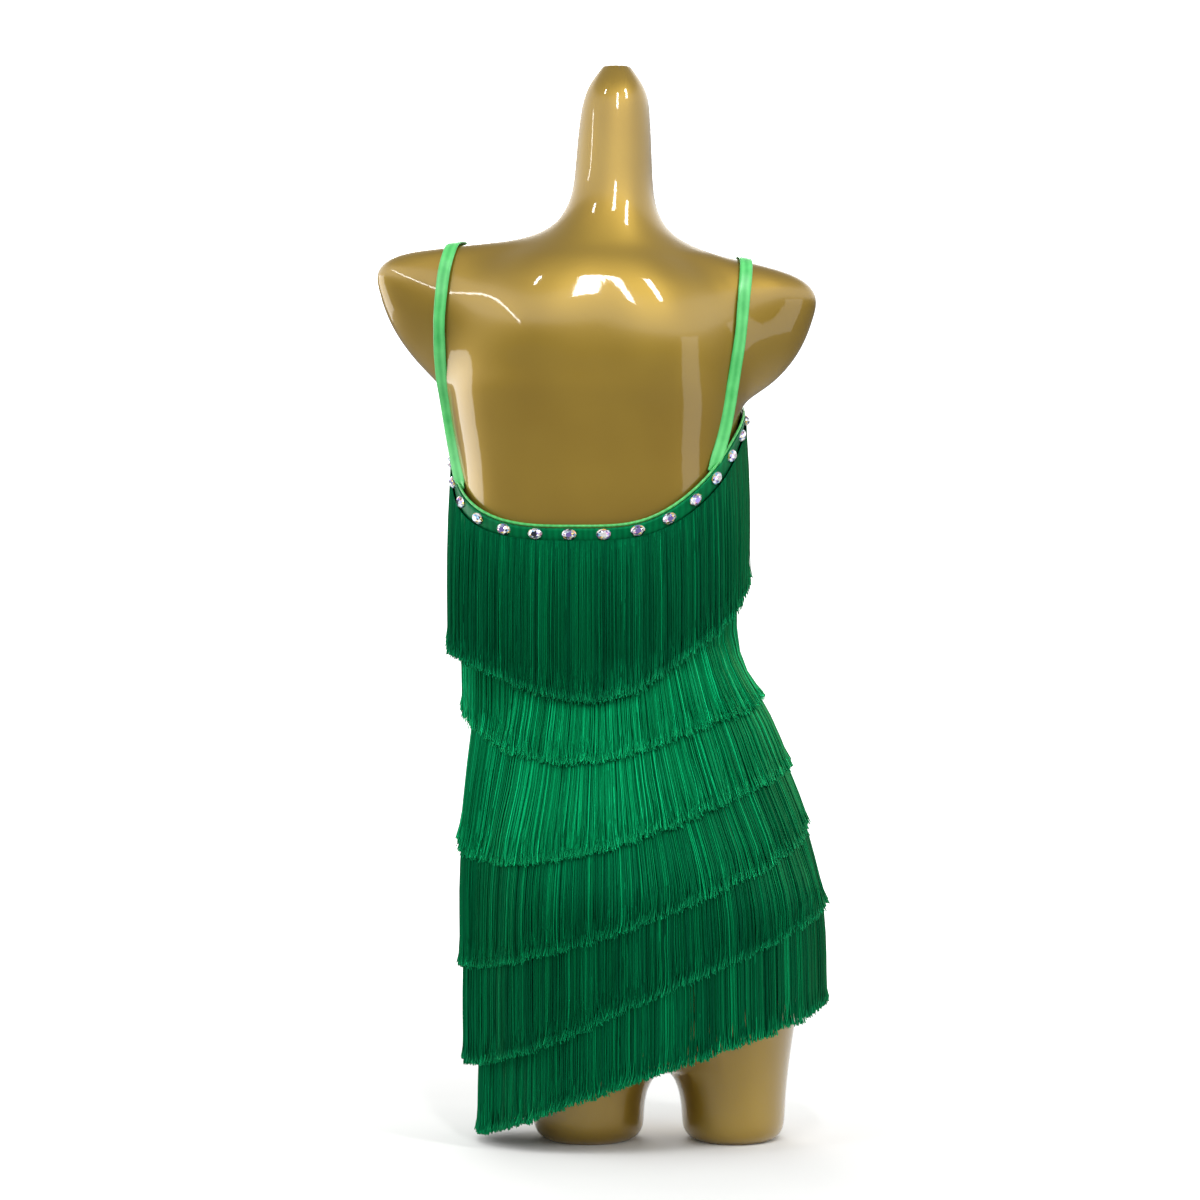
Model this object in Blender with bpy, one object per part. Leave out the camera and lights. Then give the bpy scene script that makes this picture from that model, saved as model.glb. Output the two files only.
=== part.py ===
"""Salsa dance dress with six tiers of chainette fringe, worn on a smooth torso form.

Metres, +Z up, the wearer faces -Y, so the open back of the dress faces +Y.  Angles go
round the vertical axis in degrees: 0 is the centre back, 90 the wearer's right side (-X),
180 the centre front and -90 the wearer's left side.  Cloth is stretched round the convex
outline of each section of the form, and each fringe tier hangs from its heading: it drops
straight down and is only ever pushed outwards by what lies under it.
"""

import math

import bmesh
import bpy
import numpy as np
from mathutils import Matrix, Vector
from mathutils.bvhtree import BVHTree

# Driving sizes
SEAM_GAP = 0.0003
CLOTH_GAP = 0.0025  # form to cloth, so that faceted cloth stays clear of the faceted form
CLOTH = 0.0015
FRINGE_WALL = 0.0013
FRINGE_STANDOFF = 0.0014
BAND_WIDTH = 0.0125
BAND_THICKNESS = 0.001
BAND_GAP = 0.0004
BINDING_HEIGHT = 0.0024
STRAP_WIDTH = 0.0115
STRAP_THICKNESS = 0.0014
STRAP_CLEARANCE = 0.0022
HEM_BELOW_HEADING = 0.012  # the base dress ends this far under the last heading

SIDE_HEIGHT = 0.640  # of the neckline at the sides
SCOOP_DEPTH = 0.112
SCOOP_CENTRE = -13.0
SCOOP_HALF_ANGLE = 84.0
SCOOP_FLATNESS = 3.8  # a higher power makes the back scoop a squarer U
CUP_LIFT = 0.020
CUP_ANGLE = 38.0
CENTRE_DIP = 0.014

STONE_LENGTH = 0.0135
STONE_WIDTH = 0.0100
STONE_HEIGHT = 0.0042
STONE_SPACING = 0.0288
STONE_BELOW_EDGE = 0.0053
STONES_FROM = -17.5
STONE_SIDES = 8

GARMENT_COLUMNS = 40  # a whole number on each side of both side seams
PANEL_ROWS = 18
PANEL_ROW_SPREAD = 1.3  # above 1 the rows crowd towards the bust
TIER_ROWS = 5
TIER_ROW_SPREAD = 1.2
FORM_COLUMNS = 44
FORM_RINGS = 46
NECK_FROM = 0.76
NECK_RISE = 0.05

# The torso form: one row for each level section, bottom to top.  front and back are the
# half depths from centre_y, arm_reach and arm_depth those of the shoulder stubs, and tilt
# is the slope of the section across the shoulders.
SECTION_COLUMNS = (
    "height", "centre_x", "half_width", "centre_y", "front", "back",
    "arm_reach", "arm_depth", "tilt",
)
SECTIONS = (
    (0.062, -0.044, 0.085, 0.002, 0.045, 0.050, 0.050, 0.010, 0.000),
    (0.080, -0.043, 0.118, 0.002, 0.074, 0.082, 0.050, 0.010, 0.000),
    (0.104, -0.042, 0.131, 0.002, 0.083, 0.094, 0.050, 0.010, 0.000),
    (0.132, -0.040, 0.140, 0.002, 0.089, 0.104, 0.050, 0.010, 0.000),
    (0.163, -0.039, 0.148, 0.002, 0.093, 0.112, 0.050, 0.010, 0.000),
    (0.206, -0.036, 0.149, 0.002, 0.095, 0.114, 0.050, 0.010, 0.000),
    (0.250, -0.031, 0.144, 0.002, 0.097, 0.107, 0.050, 0.010, 0.000),
    (0.293, -0.026, 0.136, 0.002, 0.097, 0.095, 0.050, 0.010, 0.000),
    (0.337, -0.021, 0.126, 0.002, 0.094, 0.083, 0.050, 0.010, 0.000),
    (0.380, -0.012, 0.115, 0.001, 0.089, 0.075, 0.050, 0.010, 0.000),
    (0.411, -0.004, 0.107, 0.000, 0.086, 0.072, 0.050, 0.010, 0.000),
    (0.436, 0.002, 0.1025, 0.000, 0.084, 0.071, 0.050, 0.010, 0.000),
    (0.463, 0.003, 0.1055, 0.000, 0.086, 0.072, 0.050, 0.010, 0.000),
    (0.515, 0.002, 0.1155, 0.000, 0.094, 0.078, 0.050, 0.010, 0.000),
    (0.554, 0.002, 0.1180, 0.000, 0.098, 0.082, 0.050, 0.010, 0.000),
    (0.598, 0.004, 0.1205, 0.000, 0.100, 0.086, 0.050, 0.010, 0.000),
    (0.630, 0.005, 0.1262, 0.000, 0.095, 0.089, 0.060, 0.012, 0.027),
    (0.653, 0.005, 0.1275, 0.001, 0.090, 0.090, 0.131, 0.026, 0.048),
    (0.665, 0.003, 0.1260, 0.001, 0.086, 0.090, 0.154, 0.035, 0.054),
    (0.682, 0.003, 0.1260, 0.002, 0.080, 0.090, 0.170, 0.042, 0.054),
    (0.705, 0.003, 0.1240, 0.003, 0.073, 0.088, 0.184, 0.048, 0.054),
    (0.728, 0.003, 0.1180, 0.004, 0.067, 0.083, 0.192, 0.049, 0.054),
    (0.743, 0.003, 0.1080, 0.005, 0.062, 0.077, 0.197, 0.045, 0.054),
    (0.751, 0.003, 0.0990, 0.006, 0.058, 0.072, 0.193, 0.040, 0.054),
    (0.757, 0.003, 0.0910, 0.007, 0.055, 0.067, 0.182, 0.036, 0.054),
    (0.762, 0.002, 0.0840, 0.007, 0.052, 0.063, 0.162, 0.034, 0.054),
    (0.768, 0.001, 0.0740, 0.008, 0.048, 0.057, 0.125, 0.035, 0.050),
    (0.774, -0.001, 0.0640, 0.008, 0.045, 0.052, 0.088, 0.036, 0.045),
    (0.781, -0.004, 0.0550, 0.008, 0.042, 0.048, 0.062, 0.034, 0.035),
    (0.789, -0.007, 0.0475, 0.007, 0.040, 0.044, 0.046, 0.032, 0.025),
    (0.801, -0.009, 0.0405, 0.005, 0.038, 0.040, 0.034, 0.030, 0.015),
    (0.818, -0.011, 0.0355, 0.003, 0.036, 0.037, 0.020, 0.020, 0.010),
    (0.856, -0.012, 0.0330, 0.000, 0.034, 0.034, 0.020, 0.020, 0.000),
    (0.892, -0.013, 0.0305, -0.003, 0.032, 0.032, 0.015, 0.015, 0.000),
    (0.912, -0.014, 0.0275, -0.004, 0.029, 0.029, 0.010, 0.010, 0.000),
    (0.924, -0.014, 0.0222, -0.005, 0.023, 0.023, 0.008, 0.008, 0.000),
    (0.931, -0.014, 0.0130, -0.005, 0.013, 0.013, 0.006, 0.006, 0.000),
)

# Soft relief on the form: angle, height, how far it stands out, and how wide and tall it is.
RELIEF_COLUMNS = ("angle", "height", "out", "wide", "tall")
RELIEF = (
    (146.0, 0.585, 0.024, 25.0, 0.048),
    (-146.0, 0.585, 0.024, 25.0, 0.048),
    (30.0, 0.205, 0.007, 26.0, 0.055),
    (-30.0, 0.215, 0.007, 26.0, 0.055),
    (34.0, 0.690, 0.006, 17.0, 0.040),
    (-34.0, 0.700, 0.006, 17.0, 0.040),
    (0.0, 0.600, -0.006, 11.0, 0.110),
)

# The thigh stumps, bottom to top; they flare into the sides of the torso.
STUMP_COLUMNS = ("height", "centre_x", "half_width", "half_depth")
STUMPS = {
    "right": (
        (0.0000, -0.1155, 0.0345, 0.0460),
        (0.0035, -0.1155, 0.0410, 0.0540),
        (0.0110, -0.1157, 0.0452, 0.0585),
        (0.0260, -0.1157, 0.0478, 0.0615),
        (0.0550, -0.1160, 0.0503, 0.0650),
        (0.0900, -0.1175, 0.0545, 0.0700),
        (0.1250, -0.1195, 0.0600, 0.0780),
    ),
    "left": (
        (0.0000, 0.0096, 0.0375, 0.0460),
        (0.0035, 0.0096, 0.0440, 0.0540),
        (0.0110, 0.0098, 0.0487, 0.0585),
        (0.0260, 0.0100, 0.0515, 0.0615),
        (0.0550, 0.0120, 0.0548, 0.0650),
        (0.0900, 0.0170, 0.0605, 0.0700),
        (0.1250, 0.0235, 0.0670, 0.0780),
    ),
}
STUMP_CENTRE_Y = 0.004
STUMP_SIDES = 24

# Fringe tiers, top to bottom: the height of the lower edge at the centre back, right side,
# centre front and left side, how far it is dropped between the back and the right side and
# raised between the back and the left, the strands' length (0: from the neckline band), and
# how the tier stands off below its heading.
TIER_TABLE_COLUMNS = ("back", "right", "front", "left", "skew", "length", "puff", "flare")
TIERS = (
    (0.381, 0.480, 0.476, 0.425, -0.008, 0.000, 0.0030, 0.004),
    (0.330, 0.386, 0.405, 0.370, 0.004, 0.110, 0.0, 0.020),
    (0.256, 0.328, 0.327, 0.261, 0.000, 0.122, 0.0, 0.020),
    (0.183, 0.279, 0.247, 0.154, -0.009, 0.118, 0.0, 0.020),
    (0.113, 0.210, 0.167, 0.071, -0.0055, 0.110, 0.0, 0.020),
    (0.052, 0.124, 0.086, 0.0085, -0.0045, 0.108, 0.0, 0.030),
)
PUFF_OVER = 0.025
LIE_OVER = 0.006  # a strand rides over what stands out within this height of it

# Strap routes seen from behind, from the neckline up over the shoulder: x and height on the
# back, the crossing of the shoulder, then x and height down the front to the neckline.
STRAPS = {
    "strap_left": {
        "back": ((0.1290, 0.618), (0.1340, 0.655), (0.1365, 0.700), (0.1345, 0.738)),
        "top": (0.1190, 0.006),
        "front": ((0.112, 0.735), (0.099, 0.695)),
        "back_angle": -79.0,
        "front_angle": -180.0 + CUP_ANGLE,
    },
    "strap_right": {
        "back": ((-0.1040, 0.602), (-0.1110, 0.643), (-0.1175, 0.685), (-0.1215, 0.727)),
        "top": (-0.1230, 0.006),
        "front": ((-0.113, 0.728), (-0.099, 0.690)),
        "back_angle": 61.0,
        "front_angle": 180.0 - CUP_ANGLE,
    },
}
STRAP_RINGS = 27
STRAP_FINE = 90
STRAP_TIGHTENING = 40
STRAP_LIFT_PASSES = 6
STRAP_REST = 0.0005
SIDE_REACH = 0.5
BEND_SPACING = 0.012  # a radian of bend counts as this much length when the rings are spaced

COLOURS = {
    "form": ((0.56, 0.42, 0.17), 0.25, 0.7),
    "cloth": ((0.004, 0.12, 0.05), 0.45, 0.0),
    "binding": ((0.06, 0.48, 0.12), 0.4, 0.0),
    "strap": ((0.09, 0.48, 0.13), 0.4, 0.0),
    "fringe": ((0.003, 0.10, 0.04), 0.4, 0.0),
    "stone": ((0.80, 0.80, 0.84), 0.08, 0.6),
}


def clear_scene():
    for obj in list(bpy.data.objects):
        bpy.data.objects.remove(obj)


def principled(name):
    colour, roughness, metallic = COLOURS[name]
    material = bpy.data.materials.new(name)
    material.use_nodes = True
    shader = material.node_tree.nodes["Principled BSDF"]
    shader.inputs["Base Color"].default_value = (*colour, 1.0)
    shader.inputs["Roughness"].default_value = roughness
    shader.inputs["Metallic"].default_value = metallic
    return material


def add_object(name, bm, material):
    bmesh.ops.recalc_face_normals(bm, faces=bm.faces)
    mesh = bpy.data.meshes.new(name)
    bm.to_mesh(mesh)
    bm.free()
    mesh.materials.append(material)
    mesh.shade_smooth()
    mesh.set_sharp_from_angle(angle=math.radians(40))
    obj = bpy.data.objects.new(name, mesh)
    bpy.context.scene.collection.objects.link(obj)
    return obj


# ---- the form -------------------------------------------------------------------------------


def smooth_column(heights, values, at):
    """Monotone cubic through the rows of one column, so that it never overshoots."""
    steps = np.diff(heights)
    slopes = np.diff(values) / steps
    tangents = np.zeros(len(values))
    same_way = slopes[:-1] * slopes[1:] > 0
    tangents[1:-1][same_way] = (
        2 * slopes[:-1][same_way] * slopes[1:][same_way] / (slopes[:-1] + slopes[1:])[same_way]
    )
    tangents[0], tangents[-1] = slopes[0], slopes[-1]
    i = np.clip(np.searchsorted(heights, at) - 1, 0, len(steps) - 1)
    t = np.clip((at - heights[i]) / steps[i], 0, 1)
    return (
        values[i] * (1 + 2 * t) * (1 - t) ** 2
        + tangents[i] * steps[i] * t * (1 - t) ** 2
        + values[i + 1] * t * t * (3 - 2 * t)
        + tangents[i + 1] * steps[i] * t * t * (t - 1)
    )


def section_at(height):
    table = np.array(SECTIONS)
    return {
        name: float(smooth_column(table[:, 0], table[:, i], height))
        for i, name in enumerate(SECTION_COLUMNS)
    }


def turned(degrees):
    """An angle brought to -180 .. 180."""
    return (degrees + 180.0) % 360.0 - 180.0


def outward(angles):
    """Unit vectors across the floor for angles in degrees."""
    a = np.radians(angles)
    return np.stack([-np.sin(a), np.cos(a)], axis=-1)


def relief_at(angles, height):
    out = np.zeros(len(angles))
    for angle, level, amount, wide, tall in RELIEF:
        out += amount * np.exp(-((turned(angles - angle) / wide) ** 2) - ((height - level) / tall) ** 2)
    return out


def body_radius(angles, height, middle=(0.0, 0.0)):
    """Distance from the vertical axis, or another middle, to the form's surface."""
    s = section_at(height)
    way = outward(angles)

    def inside(radius):
        x = middle[0] + radius * way[:, 0] - s["centre_x"]
        y = middle[1] + radius * way[:, 1] - s["centre_y"]
        depth = np.where(y > 0, s["back"], s["front"])
        torso = (np.abs(x / s["half_width"]) ** 2.25 + np.abs(y / depth) ** 2.25) ** (1 / 2.25)
        arms = np.sqrt((x / s["arm_reach"]) ** 2 + (y / s["arm_depth"]) ** 2)
        return (torso**-7.0 + arms**-7.0) ** (-1 / 7.0) < 1

    low, high = np.zeros(len(angles)), np.full(len(angles), 0.4)
    for _ in range(30):
        half_way = (low + high) / 2
        within = inside(half_way)
        low, high = np.where(within, half_way, low), np.where(within, high, half_way)
    return low + relief_at(angles, height)


def closed_loft(rings):
    """A bmesh through rings of points with the same count, its two ends filled."""
    bm = bmesh.new()
    made = [[bm.verts.new(p) for p in ring] for ring in rings]
    count = len(made[0])
    for lower, upper in zip(made, made[1:]):
        for i in range(count):
            j = (i + 1) % count
            bm.faces.new((lower[i], lower[j], upper[j], upper[i]))
    bm.faces.new(reversed(made[0]))
    bm.faces.new(made[-1])
    return bm


def form_ring_heights():
    """Ring heights, spaced by how much the sections change, so that the shoulders get most."""
    table = np.array(SECTIONS)
    change = np.abs(np.diff(table[:, [2, 6]], axis=0)).sum(axis=1)
    travel = np.concatenate([[0], np.cumsum(np.hypot(np.diff(table[:, 0]), 0.45 * change))])
    return np.interp(np.linspace(0, travel[-1], FORM_RINGS), travel, table[:, 0])


def make_torso(material):
    even = np.arange(FORM_COLUMNS) * 360.0 / FORM_COLUMNS
    angles = even + math.degrees(0.22) * np.sin(np.radians(2 * even))  # closer at the shoulders
    rings = []
    for height in form_ring_heights():
        s = section_at(height)
        up_neck = min(1.0, max(0.0, (height - NECK_FROM) / NECK_RISE))
        middle = np.array((s["centre_x"], s["centre_y"])) * up_neck  # the neck leaves the axis
        radius = body_radius(angles, height, middle=middle)
        flat = middle + outward(angles) * radius[:, None]
        rings.append([(x, y, height + s["tilt"] * x) for x, y in flat])
    return add_object("torso_form", closed_loft(rings), material)


def make_stump(side, rows, material):
    rings = []
    for height, centre_x, half_width, half_depth in rows:
        ring = []
        for i in range(STUMP_SIDES):
            a = 2 * math.pi * i / STUMP_SIDES
            ring.append((
                centre_x + half_width * math.cos(a),
                STUMP_CENTRE_Y + half_depth * math.sin(a),
                height,
            ))
        rings.append(ring)
    return add_object(f"stump_{side}", closed_loft(rings), material)


def make_form(material):
    """The torso joined with its two thigh stumps into one body."""
    torso = make_torso(material)
    for side, rows in STUMPS.items():
        joined = make_stump(side, rows, material)
        joined.hide_render = True
        joined.display_type = "WIRE"
        union = torso.modifiers.new(f"join_{side}", "BOOLEAN")
        union.operation = "UNION"
        union.object = joined
    return torso


# ---- stretched cloth ------------------------------------------------------------------------


class Stretched:
    """The base dress's outer radius round the form, at the garment's columns and any height."""

    FINE = 4  # angles between two columns, for the convex outline
    STEP = 0.005

    def __init__(self):
        self.angles = np.arange(GARMENT_COLUMNS) * 360.0 / GARMENT_COLUMNS - 90.0
        fine = np.arange(GARMENT_COLUMNS * self.FINE) * 360.0 / (GARMENT_COLUMNS * self.FINE) - 90.0
        self.heights = np.arange(0.065, 0.70, self.STEP)
        facing = np.cos(np.radians(fine[:, None] - fine[None, :]))
        seen = np.where(facing > 0.05, facing, np.nan)
        rows = []
        for height in self.heights:
            body = body_radius(fine, height)
            support = (body[:, None] * facing).max(axis=0)
            rows.append(np.nanmin(support[None, :] / seen, axis=1)[:: self.FINE])
        self.table = np.array(rows) + CLOTH_GAP + CLOTH

    def column(self, index, height):
        return float(np.interp(height, self.heights, self.table[:, index % GARMENT_COLUMNS]))

    def at(self, angle, height):
        place = (angle + 90.0) / 360.0 * GARMENT_COLUMNS
        index = math.floor(place)
        share = place - index
        return (1 - share) * self.column(index, height) + share * self.column(index + 1, height)


def neckline(angle):
    """Height of the dress's top edge at an angle."""
    from_scoop = abs(turned(angle - SCOOP_CENTRE)) / SCOOP_HALF_ANGLE
    scoop = math.exp(-(from_scoop**SCOOP_FLATNESS))
    from_front = abs(turned(angle - 180.0))
    cup = CUP_LIFT * math.exp(-(((from_front - CUP_ANGLE) / 16.0) ** 2))
    dip = CENTRE_DIP * math.exp(-((from_front / 20.0) ** 2))
    return SIDE_HEIGHT - SCOOP_DEPTH * scoop + cup - dip


def below_neckline(cloth, angle, distance):
    """Height of the line that lies a distance below the neckline, measured across the edge."""
    step = 2.0
    rise = (neckline(angle + step) - neckline(angle - step)) / 2
    run = math.radians(step) * cloth.at(angle, neckline(angle))
    return neckline(angle) - distance * math.hypot(1, rise / run)


def tier_edge(tier, angle):
    """Height of a tier's lower edge: a smooth line through its four stated heights."""
    back, right, front, left, skew = tier[:5]
    a = math.radians(angle)
    return (
        (back + right + front + left) / 4
        + (back - front) / 2 * math.cos(a)
        + (right - left) / 2 * math.sin(a)
        + (back + front - right - left) / 4 * math.cos(2 * a)
        + skew * math.sin(2 * a)
    )


def tier_heading(cloth, tier, angle):
    """Height of the line that a tier is sewn on at; the first hangs from the neckline band."""
    length = tier[5]
    if length == 0:
        return below_neckline(cloth, angle, BAND_WIDTH + SEAM_GAP)
    return tier_edge(tier, angle) + length


def base_hem(cloth, angle):
    return tier_heading(cloth, TIERS[-1], angle) - HEM_BELOW_HEADING


def wall_patch(name, columns, material, ring=False):
    """A thin wall from columns of (inner point, outer point) pairs, open edges closed with a rim.

    Both faces of the wall are split along the same, shorter diagonal, so that pieces lying on
    one another keep their gap where the cloth twists.
    """
    bm = bmesh.new()
    inner = [[bm.verts.new(pair[0]) for pair in column] for column in columns]
    outer = [[bm.verts.new(pair[1]) for pair in column] for column in columns]
    count, rows = len(columns), len(columns[0])
    spans = [(i, (i + 1) % count) for i in range(count if ring else count - 1)]
    for i, j in spans:
        for r in range(rows - 1):
            corners = ((i, r), (j, r), (j, r + 1), (i, r + 1))
            a, b, c, d = (outer[column][row].co for column, row in corners)
            first = 0 if (a - c).length < (b - d).length else 1
            for second in (first + 1, first + 3):
                triangle = [corners[k % 4] for k in (first, second, first + 2)]
                bm.faces.new([outer[column][row] for column, row in triangle])
                bm.faces.new([inner[column][row] for column, row in reversed(triangle)])
        bm.faces.new((inner[i][0], inner[j][0], outer[j][0], outer[i][0]))
        bm.faces.new((outer[i][-1], outer[j][-1], inner[j][-1], inner[i][-1]))
    if not ring:
        for i in (0, count - 1):
            for r in range(rows - 1):
                bm.faces.new((inner[i][r], outer[i][r], outer[i][r + 1], inner[i][r + 1]))
    return add_object(name, bm, material)


def on_angle(angle, radius, height):
    x, y = outward(angle) * radius
    return (float(x), float(y), float(height))


def half_angles(cloth, side):
    """The garment's columns from one side seam to the other, held back at the seams."""
    half = GARMENT_COLUMNS // 2
    first = 0 if side == "back" else half
    angles = [cloth.angles[0] + (first + i) * 360.0 / GARMENT_COLUMNS for i in range(half + 1)]
    held_back = math.degrees(SEAM_GAP * 0.6 / 0.12)
    angles[0] += held_back
    angles[-1] -= held_back
    return angles


def make_panel(cloth, side, material):
    """Half of the base dress: the first row of its faces is what the neckline band covers."""
    shares = np.linspace(0, 1, PANEL_ROWS) ** PANEL_ROW_SPREAD
    columns = []
    for angle in half_angles(cloth, side):
        foot = below_neckline(cloth, angle, BAND_WIDTH)
        column = []
        for height in (neckline(angle), *(foot + (base_hem(cloth, angle) - foot) * shares)):
            outer = cloth.at(angle, height)
            column.append((on_angle(angle, outer - CLOTH, height), on_angle(angle, outer, height)))
        columns.append(column)
    return wall_patch(f"{side}_panel", columns, material)


def make_band(cloth, side, material):
    """The strip that carries the crystals, made from the panel's own points moved out."""
    columns = []
    for angle in half_angles(cloth, side):
        column = []
        for distance in (0.0, BAND_WIDTH):
            height = below_neckline(cloth, angle, distance)
            inner = cloth.at(angle, height) + BAND_GAP
            column.append((
                on_angle(angle, inner, height),
                on_angle(angle, inner + BAND_THICKNESS, height),
            ))
        columns.append(column)
    return wall_patch(f"{side}_neckline_band", columns, material)


def make_binding(cloth, side, material):
    columns = []
    for angle in half_angles(cloth, side):
        foot = neckline(angle) + SEAM_GAP * 1.5
        outer = cloth.at(angle, foot) + BAND_GAP + BAND_THICKNESS
        inner = cloth.at(angle, foot) - CLOTH
        column = [
            (on_angle(angle, inner, height), on_angle(angle, outer, height))
            for height in (foot + BINDING_HEIGHT, foot)
        ]
        columns.append(column)
    return wall_patch(f"{side}_neckline_binding", columns, material)


def hang_tier(cloth, tier, below):
    """Heights and inner radii down each column of a tier, hung over the cloth and the tier below."""
    puff, flare = tier[6], tier[7]
    columns = []
    for index, angle in enumerate(cloth.angles):
        top, bottom = tier_heading(cloth, tier, angle), tier_edge(tier, angle)
        fine = top + (bottom - top) * np.linspace(0, 1, 10 * TIER_ROWS + 1) ** TIER_ROW_SPREAD
        near = (-LIE_OVER, 0.0, LIE_OVER)
        under = np.array([max(cloth.column(index, h + step) for step in near) for h in fine])
        if below:
            heights, radii = below[index]
            lower = np.interp(-fine, -heights, radii + FRINGE_WALL, left=0.0)
            under = np.maximum(under, lower)
        drop = top - fine
        inner = np.maximum.accumulate(under) + FRINGE_STANDOFF
        inner += puff * (1 - np.exp(-drop / PUFF_OVER)) + flare * drop
        columns.append((fine[::10], inner[::10]))
    return columns


def make_tiers(cloth, material):
    """All tiers, hung from the lowest up because each lies over the next."""
    below = None
    for number in range(len(TIERS), 0, -1):
        below = hang_tier(cloth, TIERS[number - 1], below)
        columns = [
            [(on_angle(angle, r, h), on_angle(angle, r + FRINGE_WALL, h)) for h, r in zip(*column)]
            for angle, column in zip(cloth.angles, below)
        ]
        wall_patch(f"fringe_{number}", columns, material, ring=True)


# ---- straps ---------------------------------------------------------------------------------


def form_tree(form):
    graph = bpy.context.evaluated_depsgraph_get()
    return BVHTree.FromObject(form, graph)


def laid_on(tree, origin, way):
    """Where a line first meets the form, or the form's nearest point to the line's middle."""
    place, normal, _, _ = tree.ray_cast(Vector(origin), Vector(way))
    if place is None:
        place, normal, _, _ = tree.find_nearest(Vector(origin) + Vector(way) * SIDE_REACH)
    return place + normal * STRAP_CLEARANCE


def spaced_points(points, count, bend_spacing=0.0):
    """Points along a line, evenly spaced or closer together where it bends."""
    p = np.array(points)
    steps = np.diff(p, axis=0)
    lengths = np.linalg.norm(steps, axis=1)
    ways = steps / lengths[:, None]
    bends = np.arccos(np.clip((ways[1:] * ways[:-1]).sum(axis=1), -1, 1))
    travel = lengths + bend_spacing * (np.append(bends, 0) + np.insert(bends, 0, 0)) / 2
    along = np.concatenate([[0], np.cumsum(travel)])
    at = np.linspace(0, along[-1], count)
    return np.stack([np.interp(at, along, p[:, k]) for k in range(3)], axis=1)


def strap_end(cloth, angle, aside=0.0):
    """A point just above the neckline binding, moved aside along it."""
    angle += math.degrees(aside / 0.11)
    height = neckline(angle) + BINDING_HEIGHT + SEAM_GAP * 3
    return on_angle(angle, cloth.at(angle, height) - CLOTH / 2, height)


def strap_line(cloth, tree, route):
    """The strap's middle line: laid on the form, then drawn tight while it stays clear of it."""
    points = [strap_end(cloth, route["back_angle"])]
    points += [laid_on(tree, (x, SIDE_REACH, z), (0, -1, 0)) for x, z in route["back"]]
    points.append(laid_on(tree, (*route["top"], 1.2), (0, 0, -1)))
    points += [laid_on(tree, (x, -SIDE_REACH, z), (0, 1, 0)) for x, z in route["front"]]
    points.append(strap_end(cloth, route["front_angle"]))
    line = spaced_points(points, STRAP_FINE)
    for _ in range(STRAP_TIGHTENING):
        line[1:-1] = line[1:-1] / 2 + (line[:-2] + line[2:]) / 4
        for i in range(1, len(line) - 1):
            place, normal, _, _ = tree.find_nearest(Vector(line[i]))
            away = (Vector(line[i]) - place).dot(normal)
            if away < STRAP_CLEARANCE:
                line[i] = place + normal * STRAP_CLEARANCE
    return spaced_points(line, STRAP_RINGS, BEND_SPACING)


def clearance(tree, point):
    place, normal, _, _ = tree.find_nearest(point)
    return (point - place).dot(normal)


def strap_rings(cloth, route, line, normals, lifts):
    """Four corners for each ring, upper face first; the two ends are cut along the neckline."""
    rings = []
    for place, way, normal, lift in zip(line, np.gradient(line, axis=0), normals, lifts):
        way = Vector(way).normalized()
        across = way.cross(normal).normalized() * (STRAP_WIDTH / 2)
        up = across.cross(way).normalized() * (STRAP_THICKNESS / 2)
        middle = Vector(place) + normal * lift
        rings.append([middle + across + up, middle - across + up, middle - across - up, middle + across - up])
    for end, angle in ((0, route["back_angle"]), (-1, route["front_angle"])):
        sides = [Vector(strap_end(cloth, angle, aside)) for aside in (STRAP_WIDTH / 2, -STRAP_WIDTH / 2)]
        if (sides[0] - sides[1]).dot(rings[end][0] - rings[end][1]) < 0:
            sides.reverse()
        up = (rings[end][0] - rings[end][3]) / 2
        rings[end] = [sides[0] + up, sides[1] + up, sides[1] - up, sides[0] - up]
    return rings


def make_strap(name, cloth, tree, route, material):
    """A flat strip swept along its line and lifted wherever an edge would sink into the form."""
    line = strap_line(cloth, tree, route)
    found = np.array([tree.find_nearest(Vector(p))[1][:] for p in line])
    spread = np.pad(found, ((2, 2), (0, 0)), mode="edge")
    normals = [Vector(spread[i : i + 5].mean(axis=0)).normalized() for i in range(len(line))]
    lifts = np.zeros(len(line))
    for _ in range(STRAP_LIFT_PASSES):
        rings = strap_rings(cloth, route, line, normals, lifts)
        for i in range(len(rings) - 1):
            for share in (0.0, 0.5, 1.0):
                a = rings[i][2].lerp(rings[i + 1][2], share)
                b = rings[i][3].lerp(rings[i + 1][3], share)
                lowest = min(clearance(tree, a.lerp(b, k)) for k in (0.0, 0.5, 1.0))
                short = max(0.0, STRAP_REST - lowest)
                lifts[i] += short * (1 - share)
                lifts[i + 1] += short * share
    return add_object(name, closed_loft(strap_rings(cloth, route, line, normals, lifts)), material)


# ---- crystals -------------------------------------------------------------------------------


def stone_angles(cloth):
    """Angles of the crystals, evenly spaced along the middle of the neckline band."""
    fine = np.linspace(STONES_FROM, STONES_FROM + 360.0, 721)
    heights = [below_neckline(cloth, a, STONE_BELOW_EDGE) for a in fine]
    line = np.array([on_angle(a, cloth.at(a, h), h) for a, h in zip(fine, heights)])
    along = np.concatenate([[0], np.cumsum(np.linalg.norm(np.diff(line, axis=0), axis=1))])
    count = round(along[-1] / STONE_SPACING)
    return np.interp(np.arange(count) * along[-1] / count, along, fine)


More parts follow.
